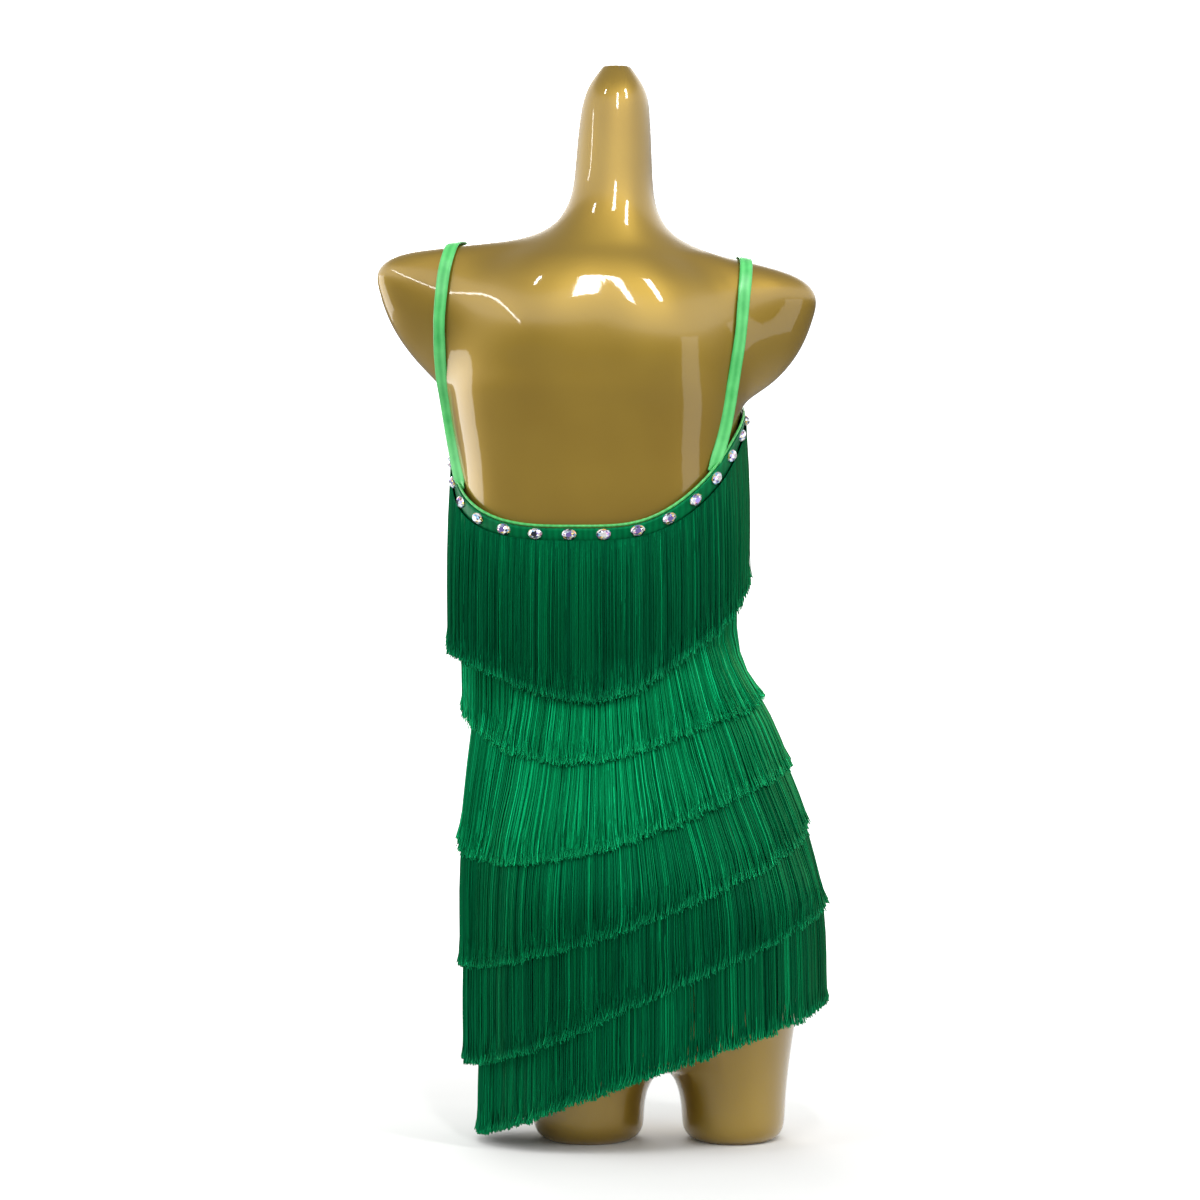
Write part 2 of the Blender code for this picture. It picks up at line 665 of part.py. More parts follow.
def make_stone(name, cloth, angle, material):
    """An oval flat-back crystal with a girdle, a sloping crown and a flat table."""

    def on_band(a, distance=STONE_BELOW_EDGE):
        height = below_neckline(cloth, a, distance)
        radius = cloth.at(a, height) + BAND_GAP + BAND_THICKNESS
        return Vector(on_angle(a, radius, height))

    along = (on_band(angle + 2.0) - on_band(angle - 2.0)).normalized()
    down = on_band(angle, BAND_WIDTH) - on_band(angle, 0.0)
    out = down.cross(along).normalized()
    if out.dot(Vector(on_angle(angle, 1.0, 0.0))) < 0:
        out = -out
    across = out.cross(along)
    rings = []
    levels = ((0.0, 0.94), (0.25, 1.0), (1.0, 0.56))
    for rise, size in levels:
        ring = []
        for i in range(STONE_SIDES):
            a = 2 * math.pi * (i + 0.5) / STONE_SIDES
            ring.append(
                on_band(angle)
                + along * (STONE_LENGTH / 2 * size * math.cos(a))
                + across * (STONE_WIDTH / 2 * size * math.sin(a))
                + out * (SEAM_GAP * 1.5 + STONE_HEIGHT * rise)
            )
        rings.append(ring)
    return add_object(name, closed_loft(rings), material)


def main():
    clear_scene()
    materials = {name: principled(name) for name in COLOURS}
    form = make_form(materials["form"])
    cloth = Stretched()
    for side in ("back", "front"):
        make_panel(cloth, side, materials["cloth"])
        make_band(cloth, side, materials["cloth"])
        make_binding(cloth, side, materials["binding"])
    make_tiers(cloth, materials["fringe"])
    tree = form_tree(form)
    for name, route in STRAPS.items():
        make_strap(name, cloth, tree, route, materials["strap"])
    for number, angle in enumerate(stone_angles(cloth), 1):
        make_stone(f"crystal_{number:02d}", cloth, angle, materials["stone"])


main()
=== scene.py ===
import math
import random

import bmesh
import bpy
import numpy as np
from mathutils import Matrix, Vector
from mathutils.bvhtree import BVHTree


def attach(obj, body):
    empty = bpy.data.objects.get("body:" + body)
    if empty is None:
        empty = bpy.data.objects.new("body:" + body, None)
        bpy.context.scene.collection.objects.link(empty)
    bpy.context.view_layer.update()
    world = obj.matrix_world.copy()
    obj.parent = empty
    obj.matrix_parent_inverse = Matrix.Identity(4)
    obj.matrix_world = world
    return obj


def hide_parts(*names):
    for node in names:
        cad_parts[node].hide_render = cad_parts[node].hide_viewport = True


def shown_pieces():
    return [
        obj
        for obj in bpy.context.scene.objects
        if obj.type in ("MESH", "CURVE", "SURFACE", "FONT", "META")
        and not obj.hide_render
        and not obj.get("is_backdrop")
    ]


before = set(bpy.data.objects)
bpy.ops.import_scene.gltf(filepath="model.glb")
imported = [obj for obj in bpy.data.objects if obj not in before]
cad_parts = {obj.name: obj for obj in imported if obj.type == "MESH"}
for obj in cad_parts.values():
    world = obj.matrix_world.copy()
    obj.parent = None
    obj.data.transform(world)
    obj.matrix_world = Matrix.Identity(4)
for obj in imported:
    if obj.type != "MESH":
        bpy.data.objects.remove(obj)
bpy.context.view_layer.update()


def linear(hexColour, alpha=1.0):
    # sRGB hex to the linear colour a shader wants
    parts = [int(hexColour[i:i + 2], 16) / 255 for i in (1, 3, 5)]
    return tuple(p / 12.92 if p <= 0.04045 else ((p + 0.055) / 1.055) ** 2.4 for p in parts) + (alpha,)


def addNode(tree, kind, inputs=(), stops=(), **settings):
    # inputs go by name or number, or in order, and each is a value, a socket or a node, whose first output
    # is used; stops are a colour ramp's, its two ends first
    node = tree.nodes.new(kind)
    for name, value in settings.items():
        setattr(node, name, value)
    for i, (place, colour) in enumerate(stops):
        stop = node.color_ramp.elements[i] if i < 2 else node.color_ramp.elements.new(place)
        stop.position, stop.color = place, linear(colour)
    for key, value in (inputs.items() if isinstance(inputs, dict) else enumerate(inputs)):
        socket = node.inputs[key]
        if isinstance(value, bpy.types.Node):
            value = next(o for o in value.outputs if o.enabled)
        if isinstance(value, bpy.types.NodeSocket):
            tree.links.new(value, socket)
        else:
            socket.default_value = value
    return node


def newMaterial(name, **shader):
    # a material with one Principled shader, whose constants are set on its own sockets
    material = bpy.data.materials.new(name)
    material.use_nodes = True
    tree = material.node_tree
    tree.nodes.clear()
    surface = addNode(tree, "ShaderNodeBsdfPrincipled", shader)
    addNode(tree, "ShaderNodeOutputMaterial", {"Surface": surface.outputs["BSDF"]})
    return material, tree, surface


def resample(values, at, closed=False):
    # Catmull-Rom through the first axis of values, at these row numbers
    values, at = np.asarray(values, float), np.asarray(at, float)
    size = len(values)
    low = np.floor(at).astype(int)
    if not closed:
        low = np.clip(low, 0, size - 2)
    t = (at - low).reshape((-1,) + (1,) * (values.ndim - 1))

    def pick(i):
        return values[i % size] if closed else values[np.clip(i, 0, size - 1)]
    a, b, c, d = pick(low - 1), pick(low), pick(low + 1), pick(low + 2)
    return 0.5 * (2 * b + (c - a) * t + (2 * a - 5 * b + 4 * c - d) * t ** 2 + (3 * b - a - 3 * c + d) * t ** 3)


def newPiece(name, points, faces, material, smooth=True):
    mesh = bpy.data.meshes.new(name)
    mesh.from_pydata([tuple(p) for p in points], [], faces)
    mesh.update()
    piece = bpy.data.objects.new(name, mesh)
    bpy.context.scene.collection.objects.link(piece)
    if material:
        mesh.materials.append(material)
    if smooth:
        mesh.polygons.foreach_set("use_smooth", [True] * len(mesh.polygons))
    return piece


def turnOutwards(piece):
    shape = bmesh.new()
    shape.from_mesh(piece.data)
    bmesh.ops.recalc_face_normals(shape, faces=shape.faces)
    shape.to_mesh(piece.data)
    shape.free()


def bakeModifiers(piece):
    # the piece keeps what its modifiers make as a plain mesh
    bpy.context.view_layer.update()
    graph = bpy.context.evaluated_depsgraph_get()
    made = bpy.data.meshes.new_from_object(piece.evaluated_get(graph), depsgraph=graph)
    piece.modifiers.clear()
    piece.data = made
    made.name = piece.name
    return piece


def setInputs(modifier, values):
    # a modifier's inputs are set by the identifiers of the group's sockets
    for item in modifier.node_group.interface.items_tree:
        if item.item_type == "SOCKET" and item.in_out == "INPUT" and item.name in values:
            modifier[item.identifier] = values[item.name]


def groupTree(name, sockets):
    tree = bpy.data.node_groups.new(name, "GeometryNodeTree")
    tree.interface.new_socket("Guide", in_out="INPUT", socket_type="NodeSocketGeometry")
    for label, kind, value in sockets:
        socket = tree.interface.new_socket(label, in_out="INPUT", socket_type="NodeSocket" + kind)
        if value is not None:
            socket.default_value = value
    tree.interface.new_socket("Result", in_out="OUTPUT", socket_type="NodeSocketGeometry")
    return tree, tree.nodes.new("NodeGroupInput")


def closeTree(tree, shape, material):
    # the last three nodes of every tree
    real = addNode(tree, "GeometryNodeRealizeInstances", {"Geometry": shape})
    painted = addNode(tree, "GeometryNodeSetMaterial", {"Geometry": real, "Material": material})
    addNode(tree, "NodeGroupOutput", {0: painted})


turnColumns = 40  # the CAD cloth has a column every 9 degrees, from the centre back


def readWall(*nodeNames):
    # [column][row] = (height, inner radius, outer radius), top row first
    columns = {}
    for nodeName in nodeNames:
        own = {}
        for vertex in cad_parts[nodeName].data.vertices:
            x, y, z = vertex.co
            step = round(math.degrees(math.atan2(-x, y)) * turnColumns / 360) % turnColumns
            own.setdefault(step, []).append((z, math.hypot(x, y)))
        for step, points in own.items():
            if step in columns:
                continue
            rows = []
            for z, radius in sorted(points, reverse=True):
                if rows and rows[-1][0] - z < 2e-5:
                    rows[-1][1:] = [min(rows[-1][1], radius), max(rows[-1][2], radius)]
                else:
                    rows.append([z, radius, radius])
            columns[step] = rows
    return np.array([columns[i] for i in range(turnColumns)])


def polarPoint(turn, radius, height):
    # turn is 0 to 1 from the centre back towards the wearer's right
    angle = turn * 2 * math.pi
    return (-math.sin(angle) * radius, math.cos(angle) * radius, height)


def tubeFaces(columns, rows):
    # quads between neighbouring columns of a closed tube, rows running downwards
    faces = []
    for i in range(columns):
        j = (i + 1) % columns
        for k in range(rows - 1):
            faces.append((i * rows + k, i * rows + k + 1, j * rows + k + 1, j * rows + k))
    return faces


torsoLook = {"deep": "#6C5114", "gold": "#95781F", "pale": "#B4983C"}

# Gold lacquer over glass fibre: sprayed metallic paint under clear coat, so broad soft
# highlights from the flake and a sharp one from the coat, with slight orange peel.
goldLacquer, tree, surface = newMaterial(
    "sprayedGoldLacquer", **{"Metallic": 0.66, "Roughness": 0.48, "Coat Weight": 1.0, "Coat Roughness": 0.06})
place = addNode(tree, "ShaderNodeTexCoord").outputs["Object"]
# drifts of spray 200 mm across
cloudy = addNode(tree, "ShaderNodeTexNoise", {"Vector": place, "Scale": 5.0, "Detail": 3.0})
gold = addNode(tree, "ShaderNodeValToRGB", {"Fac": cloudy.outputs["Fac"]},
               stops=[(0.3, torsoLook["deep"]), (0.75, torsoLook["pale"])])
body = addNode(tree, "ShaderNodeMix", {0: 0.62, 6: gold.outputs[0], 7: linear(torsoLook["gold"])},
               data_type="RGBA")
# flake 1.1 mm across, coarser than the real
flake = addNode(tree, "ShaderNodeTexNoise", {"Vector": place, "Scale": 900.0, "Detail": 2.0})
tree.links.new(body.outputs[2], surface.inputs["Base Color"])
peel = addNode(tree, "ShaderNodeTexNoise", {"Vector": place, "Scale": 160.0, "Detail": 2.0})  # 6 mm orange peel
peelBump = addNode(tree, "ShaderNodeBump", {"Strength": 0.025, "Distance": 0.002, "Height": peel})
flakeBump = addNode(tree, "ShaderNodeBump", {"Strength": 0.035, "Distance": 0.0006, "Height": flake,
                                             "Normal": peelBump})
tree.links.new(flakeBump.outputs[0], surface.inputs["Normal"])
tree.links.new(peelBump.outputs[0], surface.inputs["Coat Normal"])


def clothMaterial(name, dark, light, threadsPerMetre, **shader):
    # stretch satin knit: fine upright wales, brighter where the thread turns to the light
    material, tree, surface = newMaterial(name, **shader)
    place = addNode(tree, "ShaderNodeTexCoord").outputs["UV"]  # the UV map is in metres
    wales = addNode(tree, "ShaderNodeTexWave", {
        "Vector": place, "Scale": threadsPerMetre / 20, "Distortion": 0.6, "Detail": 1.0}, bands_direction="X")
    uneven = addNode(tree, "ShaderNodeTexNoise", {"Vector": place, "Scale": 60.0, "Detail": 3.0})
    blend = addNode(tree, "ShaderNodeMix", {0: 0.75, 2: wales.outputs["Fac"], 3: uneven.outputs["Fac"]})
    ramp = addNode(tree, "ShaderNodeValToRGB", {"Fac": blend.outputs[0]}, stops=[(0.2, dark), (0.85, light)])
    tree.links.new(ramp.outputs[0], surface.inputs["Base Color"])
    waleBump = {"Strength": 0.12, "Distance": 0.0003, "Height": wales.outputs["Fac"]}
    bump = addNode(tree, "ShaderNodeBump", waleBump)
    tree.links.new(bump.outputs[0], surface.inputs["Normal"])
    return material


# Emerald stretch satin: smooth knit face with a soft broad sheen.
# Wales 1 mm apart, coarser than the real 0.4 mm.
emeraldSatin = clothMaterial("emeraldStretchSatin", "#014425", "#026A3B", 1000,
                             **{"Roughness": 0.40, "Specular IOR Level": 0.6, "Specular Tint": linear("#1FD98A"),
                                "Sheen Weight": 0.04, "Sheen Roughness": 0.4, "Sheen Tint": linear("#1FC47A")})
# Bright green satin binding: the same knit in a lighter dye, rolled over, so it shines along its length.
brightSatin = clothMaterial("brightGreenSatin", "#2C9A48", "#55C765", 1000,
                            **{"Roughness": 0.34, "Specular IOR Level": 0.55, "Sheen Weight": 0.2,
                               "Sheen Roughness": 0.35})

# The straps are the same satin, in a paler colour.
strapSatin = clothMaterial("tautGreenSatin", "#2FA04B", "#69D57B", 1000,
                           **{"Roughness": 0.32, "Specular IOR Level": 0.5, "Sheen Weight": 0.15,
                              "Sheen Roughness": 0.35})

fringeLook = {"deep": "#014A2E", "middle": "#027C48", "light": "#10C880"}

# Chainette fringe: chain-knitted viscose, silky, so a lengthwise sheen on each cord and dark gaps between.
chainette, tree, surface = newMaterial(
    "viscoseChainette", **{"Metallic": 0.62, "Roughness": 0.36, "Specular IOR Level": 0.9,
                           "Specular Tint": linear("#1FD98A"), "Sheen Weight": 0.04, "Sheen Roughness": 0.3,
                           "Sheen Tint": linear("#1FC47A")})
tint = addNode(tree, "ShaderNodeAttribute", attribute_name="strandTint").outputs["Fac"]
drop = addNode(tree, "ShaderNodeAttribute", attribute_name="strandDrop").outputs["Fac"]
# the strands' dye colours, with the painted light and shade carried in strandTint
dye = addNode(tree, "ShaderNodeValToRGB", {"Fac": tint},
              stops=[(0.0, fringeLook["deep"]), (1.0, fringeLook["light"]), (0.5, fringeLook["middle"])])
# cut ends painted paler, a painted highlight where the curled tips catch the light
ends = addNode(tree, "ShaderNodeMapRange", {"Value": drop, "From Min": 0.92, "From Max": 1.0, "To Max": 0.35})
paintedTipHighlight = addNode(tree, "ShaderNodeMix", {0: ends, 6: dye, 7: linear("#1CB070")}, data_type="RGBA")
tree.links.new(paintedTipHighlight.outputs[2], surface.inputs["Base Color"])
place = addNode(tree, "ShaderNodeTexCoord").outputs["Object"]
# chain loops 2.4 mm long
squeezed = addNode(tree, "ShaderNodeMapping", {"Vector": place, "Scale": (260.0, 260.0, 420.0)})
loops = addNode(tree, "ShaderNodeTexNoise", {"Vector": squeezed, "Scale": 1.0, "Detail": 1.0})
bump = addNode(tree, "ShaderNodeBump", {"Strength": 0.15, "Distance": 0.0005, "Height": loops.outputs["Fac"]})
tree.links.new(bump.outputs[0], surface.inputs["Normal"])

# Foil-backed glass stones: mirror facets, each painted at random dark, white or pale blue, pink, gold or violet, as
# painted reflections of the room.
foiledGlass, tree, surface = newMaterial(
    "foiledCutGlass", **{"Metallic": 0.55, "Roughness": 0.08, "Coat Weight": 1.0, "Coat Roughness": 0.02})
facet = addNode(tree, "ShaderNodeAttribute", attribute_name="facetTint").outputs["Fac"]
paintedFacetReflections = addNode(tree, "ShaderNodeValToRGB", {"Fac": facet}, stops=[
    (0.0, "#2C3242"), (1.0, "#FFFFFF"), (0.14, "#A9B4C4"), (0.26, "#FFFFFF"), (0.38, "#8FC4F2"),
    (0.48, "#F5F1F7"), (0.58, "#EFA3C6"), (0.66, "#FFFFFF"), (0.78, "#F6CE74"), (0.88, "#8C78C4")])
paintedFacetReflections.color_ramp.interpolation = "CONSTANT"
place = addNode(tree, "ShaderNodeTexCoord").outputs["Object"]
grain = addNode(tree, "ShaderNodeTexNoise", {"Vector": place, "Scale": 700.0})
shine = addNode(tree, "ShaderNodeMix", {0: 0.2, 6: paintedFacetReflections.outputs[0], 7: grain.outputs["Color"]},
                data_type="RGBA", blend_type="OVERLAY")
tree.links.new(shine.outputs[2], surface.inputs["Base Color"])
print("materials ready")


torso = {"levels": 2, "weldBelow": 0.15, "relaxPasses": 14, "baseEdge": 0.72}

shape = bmesh.new()
shape.from_mesh(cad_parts["torso_form"].data)
bmesh.ops.remove_doubles(shape, verts=shape.verts, dist=1e-5)
bmesh.ops.join_triangles(shape, faces=shape.faces, angle_face_threshold=math.radians(50),
                         angle_shape_threshold=math.radians(60))
bmesh.ops.recalc_face_normals(shape, faces=shape.faces)
crease = shape.edges.layers.float.new("crease_edge")
highest = max(v.co.z for v in shape.verts)
for edge in shape.edges:
    ends = [v.co.z for v in edge.verts]
    flat = [abs(f.normal.z) > 0.999 for f in edge.link_faces]
    # the cut ends of the thighs and neck keep their edge
    if any(flat) and not all(flat) and (max(ends) < 1e-4 or min(ends) > highest - 1e-4):
        edge[crease] = torso["baseEdge"]
low = [v for v in shape.verts if 0.012 < v.co.z < torso["weldBelow"]]
for step in range(torso["relaxPasses"]):
    bmesh.ops.smooth_vert(shape, verts=low, factor=0.35, use_axis_x=True, use_axis_y=True, use_axis_z=True)
torsoForm = newPiece("torsoForm", [], [], goldLacquer)
shape.to_mesh(torsoForm.data)
shape.free()
torsoForm.data.polygons.foreach_set("use_smooth", [True] * len(torsoForm.data.polygons))
rounder = torsoForm.modifiers.new("rounder", "SUBSURF")
rounder.levels = rounder.render_levels = torso["levels"]
bakeModifiers(torsoForm)
formTree = BVHTree.FromPolygons([v.co.copy() for v in torsoForm.data.vertices],
                                [tuple(p.vertices) for p in torsoForm.data.polygons])
print("torso form", len(torsoForm.data.polygons), "faces")


dress = {"columns": 160, "rows": 60, "stretch": 0.96, "flatWidth": 0.80, "flatDepth": 0.62}

wall = readWall("back_panel", "front_panel")
around = np.arange(dress["columns"]) * turnColumns / dress["columns"]
down = np.linspace(0, wall.shape[1] - 1, dress["rows"])
wall = resample(wall, around, closed=True)
wall = np.swapaxes(resample(np.swapaxes(wall, 0, 1), down), 0, 1)


def thinTube(name, wall, material, crown=0.0):
    # a closed thin shell from a wall's inner and outer radii
    columns, rows = wall.shape[:2]
    points = []
    for layer in (2, 1):
        for i in range(columns):
            for k in range(rows):
                lift = crown * math.sin(math.pi * k / (rows - 1)) if layer == 2 else 0.0
                points.append(polarPoint(i / columns, wall[i, k, layer] + lift, wall[i, k, 0]))
    size, low = columns * rows, rows - 1
    outer = tubeFaces(columns, rows)
    faces = outer + [tuple(size + v for v in reversed(f)) for f in outer]
    for i in range(columns):
        j = (i + 1) % columns
        faces.append((i * rows, j * rows, size + j * rows, size + i * rows))
        faces.append((j * rows + low, i * rows + low, size + i * rows + low, size + j * rows + low))
    piece = newPiece(name, points, faces, material)
    turnOutwards(piece)
    mapCloth(piece, float(wall[:, :, 2].mean()))
    return piece


def mapCloth(piece, radius):
    # a UV map in metres, round the body and up it
    layer = piece.data.uv_layers.new(name="clothUv")
    for polygon in piece.data.polygons:
        turns = []
        for loop in polygon.loop_indices:
            v = piece.data.vertices[piece.data.loops[loop].vertex_index].co
            turn = math.atan2(-v.x, v.y) / (2 * math.pi) % 1.0
            turns.append((loop, turn, v.z))
        wraps = max(t for _, t, _ in turns) - min(t for _, t, _ in turns) > 0.5
        for loop, turn, z in turns:
            turn += 1.0 if wraps and turn < 0.5 else 0.0
            layer.data[loop].uv = (turn * 2 * math.pi * radius, z)


def shellArea(piece):
    # one side of a thin closed shell
    return sum(p.area for p in piece.data.polygons) / 2


baseDress = thinTube("baseDress", wall, emeraldSatin)

band = {"columns": 320, "rows": 5, "crown": 0.0004, "width": 0.0125, "stretch": 0.98}
wall = readWall("back_neckline_band", "front_neckline_band")
around = np.arange(band["columns"]) * turnColumns / band["columns"]
wall = resample(wall, around, closed=True)
wall = np.swapaxes(resample(np.swapaxes(wall, 0, 1), np.linspace(0, wall.shape[1] - 1, band["rows"])), 0, 1)
neckBand = thinTube("neckBand", wall, emeraldSatin, band["crown"])

binding = {"columns": 360, "height": 0.0026, "thickness": 0.0020, "sides": 10}
wall = readWall("back_neckline_binding", "front_neckline_binding")
around = np.arange(binding["columns"]) * turnColumns / binding["columns"]
line = resample(wall.mean(axis=1), around, closed=True)
edgeLine = [polarPoint(i / binding["columns"], (row[1] + row[2]) / 2, row[0]) for i, row in enumerate(line)]

tree, given = groupTree("rolledBinding", [
    ("Height", "Float", 0.003), ("Thickness", "Float", 0.002), ("Sides", "Int", 10), ("Material", "Material", None)])
path = addNode(tree, "GeometryNodeMeshToCurve", {"Mesh": given.outputs["Guide"]})
path = addNode(tree, "GeometryNodeSetCurveNormal", {"Curve": path}, mode="Z_UP")
ring = addNode(tree, "GeometryNodeCurvePrimitiveCircle", {"Resolution": given.outputs["Sides"], "Radius": 0.5})
oval = addNode(tree, "ShaderNodeCombineXYZ", (given.outputs["Thickness"], given.outputs["Height"], 1.0))
ring = addNode(tree, "GeometryNodeTransform", {"Geometry": ring, "Scale": oval})
rolled = addNode(tree, "GeometryNodeCurveToMesh", {"Curve": path, "Profile Curve": ring})
rolled = addNode(tree, "GeometryNodeSetShadeSmooth", {"Geometry": rolled})
closeTree(tree, rolled, given.outputs["Material"])

neckBinding = newPiece("neckBinding", edgeLine, [], brightSatin)
count = len(edgeLine)
neckBinding.data.edges.add(count)
neckBinding.data.edges.foreach_set("vertices", [v for i in range(count) for v in (i, (i + 1) % count)])
neckBinding.data.update()
modifier = neckBinding.modifiers.new("roll", "NODES")
modifier.node_group = tree
setInputs(modifier, {"Height": binding["height"], "Thickness": binding["thickness"], "Sides": binding["sides"],
                     "Material": brightSatin})
bakeModifiers(neckBinding)
turnOutwards(neckBinding)
mapCloth(neckBinding, float(wall[:, :, 2].mean()))
print("dress, band and binding")


strap = {"width": 0.0115, "thickness": 0.0020, "roll": 0.0003, "points": 120, "sides": 16, "faceBack": 1.6,
         "turnFrom": 0.70, "turnOver": 0.06, "sewnIn": 0.007, "tuckOver": 0.016, "tuckWidth": 0.72}


def walkRings(nodeName, pickStart):
    # the rings of a lofted CAD solid, found by walking outwards from its first ring
    shape = bmesh.new()
    shape.from_mesh(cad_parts[nodeName].data)
    bmesh.ops.remove_doubles(shape, verts=shape.verts, dist=1e-6)
    layer = pickStart(list(shape.verts))
    seen, rings = set(layer), []
    while layer:
        rings.append([v.co.copy() for v in layer])
        # kept in the order found, so that every run adds them up the same way
        layer = [v for v in dict.fromkeys(e.other_vert(v) for v in layer for e in v.link_edges) if v not in seen]
        seen |= set(layer)
    shape.free()
    return rings


def lowestBack(vertices):
    return sorted((v for v in vertices if v.co.y > 0), key=lambda v: v.co.z)[:4]


def makeStrap(name, nodeName):
    rings = walkRings(nodeName, lowestBack)
    centres = [sum(ring, Vector()) / len(ring) for ring in rings]
    # each end carries on inside the neckline, where it is sewn
    centres.insert(0, centres[0] + (centres[0] - centres[1]).normalized() * strap["sewnIn"])
    centres.append(centres[-1] + (centres[-1] - centres[-2]).normalized() * strap["sewnIn"])
    room = [formTree.find_nearest(clothTree.find_nearest(end)[0])[3] for end in (centres[0], centres[-1])]
    count = strap["points"]
    line = [Vector(p) for p in resample([tuple(c) for c in centres], np.linspace(0, len(centres) - 1, count))]
    section = []
    for i in range(strap["sides"]):
        a = 2 * math.pi * i / strap["sides"]
        # a flat tape, its long edges rolled a little thicker
        across = math.copysign(abs(math.cos(a)) ** 0.6, math.cos(a)) * strap["width"] / 2
        edge = abs(across) / (strap["width"] / 2)
        half = strap["thickness"] / 2 + strap["roll"] * edge ** 2
        out = math.copysign(abs(math.sin(a)) ** 0.8, math.sin(a)) * half
        section.append((across, out))
    points = []
    length = sum((line[i + 1] - line[i]).length for i in range(count - 1))
    for i, centre in enumerate(line):
        ahead = (line[min(i + 1, count - 1)] - line[max(i - 1, 0)]).normalized()
        near, normal, _, gap = formTree.find_nearest(centre)
        toEnd = min(i, count - 1 - i) / (count - 1) * length - strap["sewnIn"]
        tuck = min(1.0, max(0.0, 1 - toEnd / strap["tuckOver"]))
        tuck = tuck * tuck * (3 - 2 * tuck)
        space = room[0 if i < count / 2 else 1]
        centre = centre.lerp(near + normal * min(gap, space * 0.5), tuck)
        narrow = 1 + (strap["tuckWidth"] - 1) * tuck
        thin = 1 + (min(1.0, space * 0.5 / strap["thickness"]) - 1) * tuck
        # where it spans the hollow under the arm, the taut strap turns to lie square to the back
        square = min(1.0, max(0.0, (strap["turnFrom"] - centre.z) / strap["turnOver"])) if centre.y > 0 else 0.0
        outward = (normal + Vector((0, strap["faceBack"] * square * (1 - tuck), 0))).normalized()
        outward = (outward - ahead * outward.dot(ahead)).normalized()
        side = ahead.cross(outward).normalized()
        points += [centre + side * x * narrow + outward * z * thin for x, z in section]
    size = len(section)
    faces = [(i * size + k, i * size + (k + 1) % size, (i + 1) * size + (k + 1) % size, (i + 1) * size + k)
             for i in range(count - 1) for k in range(size)]
    faces += [tuple(range(size)), tuple(range((count - 1) * size, count * size))]
    piece = newPiece(name, points, faces, strapSatin)
    turnOutwards(piece)
    layer = piece.data.uv_layers.new(name="clothUv")
    for polygon in piece.data.polygons:
        for loop in polygon.loop_indices:
            ring, k = divmod(piece.data.loops[loop].vertex_index, size)
            layer.data[loop].uv = (section[k][0], ring / (count - 1) * length)
    return piece, length


clothTree = BVHTree.FromPolygons([v.co.copy() for v in baseDress.data.vertices],
                                 [tuple(p.vertices) for p in baseDress.data.polygons])
strapLeft, leftLength = makeStrap("strapLeft", "strap_left")
strapRight, rightLength = makeStrap("strapRight", "strap_right")
print("straps", round(leftLength, 3), round(rightLength, 3))


fringe = {"points": 8, "extra": 0.07, "depth": 0.0026, "hook": 0.0042, "sway": 0.0022, "fineClump": 0.0040,
          "wideClump": 0.014, "uneven": 0.034, "spread": 1.2}
# each strand's own draws: low, high, and the step that is added to the seed
strandDraws = {"jitter": (-2.0, 2.0, 1), "curl": (-1.0, 1.0, 30), "curlOut": (-0.2, 0.7, 31),
               "uneven": (-1.0, 0.7, 32), "layer": (-0.55, 0.45, 33), "tint": (0.0, 1.0, 34),
               "thick": (0.85, 1.15, 35)}
tierStrands = {1: 3100, 2: 2700, 3: 2900, 4: 3000, 5: 3000, 6: 4300}
tierWidth = {1: 0.00110, 2: 0.00110, 3: 0.00110, 4: 0.00115, 5: 0.00120, 6: 0.00130}
# painted light: tiers 2 and 3, tilted up over the seat towards the lamps, are painted paler, and tiers 1 and 4 a
# little
tierPaintedLight = {1: 0.04, 2: 0.34, 3: 0.26, 4: 0.06, 5: 0.0, 6: 0.0}
tierSettle = {1: 0.0010, 2: 0.0026, 3: 0.0026, 4: 0.0026, 5: 0.0026, 6: 0.0010}
tierGather = {1: 0.10, 2: 0.24, 3: 0.20, 4: 0.15, 5: 0.12, 6: 0.04}


def guideSheet(name, wall):
    # the surface the strands hang in, u round the dress and v down the drop, carried on a little below the hem
    rowsAt = np.array([0, .08, .16, .24, .32, .40, .48, .56, .64, .72, .80, .86, .90, .94, .97, 1.0])
    columns = 160
    wide = resample(wall, np.arange(columns) * turnColumns / columns, closed=True)
    steps = (wall.shape[1] - 1) * rowsAt ** (1 / fringe["spread"])
    grid = np.swapaxes(resample(np.swapaxes(wide, 0, 1), steps), 0, 1)
    middle = np.stack([grid[:, :, 0], (grid[:, :, 1] + grid[:, :, 2]) / 2], axis=2)
    if name.endswith("1"):
        # the first heading laps over the lower edge of the neckline band
        middle[:, 0] += (0.0022, 0.0012)
        middle[:, 1, 1] += 0.0006
    last = middle[:, -1] + (middle[:, -1] - middle[:, -3]) / (rowsAt[-1] - rowsAt[-3]) * fringe["extra"]
    middle = np.concatenate([middle, last[:, None]], axis=1)
    rowsAt = np.append(rowsAt, 1 + fringe["extra"])
    rows = len(rowsAt)
    points, faces = [], []
    for i in range(columns + 1):
        for k in range(rows):
            height, radius = middle[i % columns, k]
            points.append(polarPoint(i / columns, radius, height))
    for i in range(columns):
        for k in range(rows - 1):
            faces.append((i * rows + k, i * rows + k + 1, (i + 1) * rows + k + 1, (i + 1) * rows + k))
    guide = newPiece(name, points, faces, chainette)
    layer = guide.data.uv_layers.new(name="guideUv")
    for loop in guide.data.loops:
        i, k = divmod(loop.vertex_index, rows)
        layer.data[loop.index].uv = (i / columns, rowsAt[k] / 2)
    hem = middle[:, -2]
    corners = [polarPoint(i / columns, hem[i % columns, 1], 0)[:2] for i in range(columns + 1)]
    girth = sum(math.dist(corners[i], corners[i + 1]) for i in range(columns))
    return guide, girth


